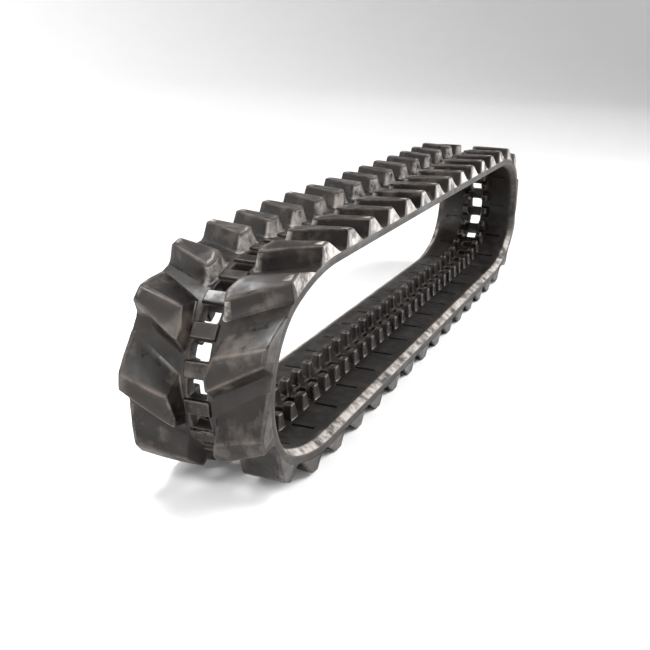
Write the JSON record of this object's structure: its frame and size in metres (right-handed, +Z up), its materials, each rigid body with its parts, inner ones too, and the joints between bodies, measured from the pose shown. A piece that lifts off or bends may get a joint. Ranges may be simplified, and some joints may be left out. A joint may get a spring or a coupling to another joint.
{
  "type": "rubber track",
  "caption": "Endless steel-cored rubber track for a small tracked excavator, with slanted tread lugs, guide lugs and drive windows.",
  "frame": {"origin": "middle of the footprint, on the ground that the lugs stand on", "axes": "+X along the runs towards the far end, +Y across the belt, +Z up"},
  "size_m": [1.8114, 0.23, 0.3773],
  "materials": {
    "inner_rubber": "satin",
    "tread_rubber": "satin",
    "lug_rubber": "satin",
    "core_steel": "matt",
    "cord_steel": "satin"
  },
  "bodies": {
    "bottom": {"inner_cover_bottom": "inner_rubber", "tread_base_bottom": "tread_rubber", "tread_lugs_bottom": "lug_rubber", "core_bars_bottom": "core_steel", "steel_cords_bottom": "cord_steel"},
    "near_lower": {"inner_cover_near_lower": "inner_rubber", "tread_base_near_lower": "tread_rubber", "tread_lugs_near_lower": "lug_rubber", "core_bars_near_lower": "core_steel", "steel_cords_near_lower": "cord_steel"},
    "near_tip_lower": {"inner_cover_near_tip_lower": "inner_rubber", "tread_base_near_tip_lower": "tread_rubber", "tread_lugs_near_tip_lower": "lug_rubber", "core_bars_near_tip_lower": "core_steel", "steel_cords_near_tip_lower": "cord_steel"},
    "near_tip_upper": {"inner_cover_near_tip_upper": "inner_rubber", "tread_base_near_tip_upper": "tread_rubber", "tread_lugs_near_tip_upper": "lug_rubber", "core_bars_near_tip_upper": "core_steel", "steel_cords_near_tip_upper": "cord_steel"},
    "near_upper": {"inner_cover_near_upper": "inner_rubber", "tread_base_near_upper": "tread_rubber", "tread_lugs_near_upper": "lug_rubber", "core_bars_near_upper": "core_steel", "steel_cords_near_upper": "cord_steel"},
    "top_near": {"inner_cover_top_near": "inner_rubber", "tread_base_top_near": "tread_rubber", "tread_lugs_top_near": "lug_rubber", "core_bars_top_near": "core_steel", "steel_cords_top_near": "cord_steel"},
    "top_far": {"inner_cover_top_far": "inner_rubber", "tread_base_top_far": "tread_rubber", "tread_lugs_top_far": "lug_rubber", "core_bars_top_far": "core_steel", "steel_cords_top_far": "cord_steel"},
    "far_upper": {"inner_cover_far_upper": "inner_rubber", "tread_base_far_upper": "tread_rubber", "tread_lugs_far_upper": "lug_rubber", "core_bars_far_upper": "core_steel", "steel_cords_far_upper": "cord_steel"},
    "far_tip_upper": {"inner_cover_far_tip_upper": "inner_rubber", "tread_base_far_tip_upper": "tread_rubber", "tread_lugs_far_tip_upper": "lug_rubber", "core_bars_far_tip_upper": "core_steel", "steel_cords_far_tip_upper": "cord_steel"},
    "far_tip_lower": {"inner_cover_far_tip_lower": "inner_rubber", "tread_base_far_tip_lower": "tread_rubber", "tread_lugs_far_tip_lower": "lug_rubber", "core_bars_far_tip_lower": "core_steel", "steel_cords_far_tip_lower": "cord_steel"},
    "far_lower": {"inner_cover_far_lower": "inner_rubber", "tread_base_far_lower": "tread_rubber", "tread_lugs_far_lower": "lug_rubber", "core_bars_far_lower": "core_steel", "steel_cords_far_lower": "cord_steel"}
  },
  "joints": [
    {"name": "near_foot_bend", "type": "hinge", "parent": "bottom", "child": "near_lower", "pos_m": [-0.63, 0, 0.038], "axis": [0, 1, 0], "range_deg": [-3, 5], "stiffness_Nm_per_rad": 2000},
    {"name": "near_lower_roll", "type": "hinge", "parent": "near_lower", "child": "near_tip_lower", "pos_m": [-0.784, 0, 0.06654], "axis": [0, 1, 0], "range_deg": [-8, 8], "stiffness_Nm_per_rad": 2000},
    {"name": "near_tip_bend", "type": "hinge", "parent": "near_tip_lower", "child": "near_tip_upper", "pos_m": [-0.86791, 0, 0.18864], "axis": [0, 1, 0], "range_deg": [-10, 6], "stiffness_Nm_per_rad": 2000},
    {"name": "near_upper_roll", "type": "hinge", "parent": "near_tip_upper", "child": "near_upper", "pos_m": [-0.784, 0, 0.31074], "axis": [0, 1, 0], "range_deg": [-8, 8], "stiffness_Nm_per_rad": 2000},
    {"name": "near_top_bend", "type": "hinge", "parent": "near_upper", "child": "top_near", "pos_m": [-0.63, 0, 0.33928], "axis": [0, 1, 0], "range_deg": [-3, 5], "stiffness_Nm_per_rad": 2000},
    {"name": "far_foot_bend", "type": "hinge", "parent": "bottom", "child": "far_lower", "pos_m": [0.63, 0, 0.038], "axis": [0, 1, 0], "range_deg": [-5, 3], "stiffness_Nm_per_rad": 2000},
    {"name": "far_lower_roll", "type": "hinge", "parent": "far_lower", "child": "far_tip_lower", "pos_m": [0.784, 0, 0.06654], "axis": [0, 1, 0], "range_deg": [-8, 8], "stiffness_Nm_per_rad": 2000},
    {"name": "far_tip_bend", "type": "hinge", "parent": "far_tip_lower", "child": "far_tip_upper", "pos_m": [0.86791, 0, 0.18864], "axis": [0, 1, 0], "range_deg": [-6, 10], "stiffness_Nm_per_rad": 2000},
    {"name": "far_upper_roll", "type": "hinge", "parent": "far_tip_upper", "child": "far_upper", "pos_m": [0.784, 0, 0.31074], "axis": [0, 1, 0], "range_deg": [-8, 8], "stiffness_Nm_per_rad": 2000},
    {"name": "far_top_bend", "type": "hinge", "parent": "far_upper", "child": "top_far", "pos_m": [0.63, 0, 0.33928], "axis": [0, 1, 0], "range_deg": [-5, 3], "stiffness_Nm_per_rad": 2000}
  ],
  "couplings": [
    {"joint": "near_tip_bend", "follows": "near_foot_bend", "ratio": -2},
    {"joint": "near_top_bend", "follows": "near_foot_bend", "ratio": 1},
    {"joint": "far_foot_bend", "follows": "near_foot_bend", "ratio": -1},
    {"joint": "far_tip_bend", "follows": "near_foot_bend", "ratio": 2},
    {"joint": "far_top_bend", "follows": "near_foot_bend", "ratio": -1},
    {"joint": "near_upper_roll", "follows": "near_lower_roll", "ratio": -1},
    {"joint": "far_lower_roll", "follows": "near_lower_roll", "ratio": 1},
    {"joint": "far_upper_roll", "follows": "near_lower_roll", "ratio": -1}
  ]
}
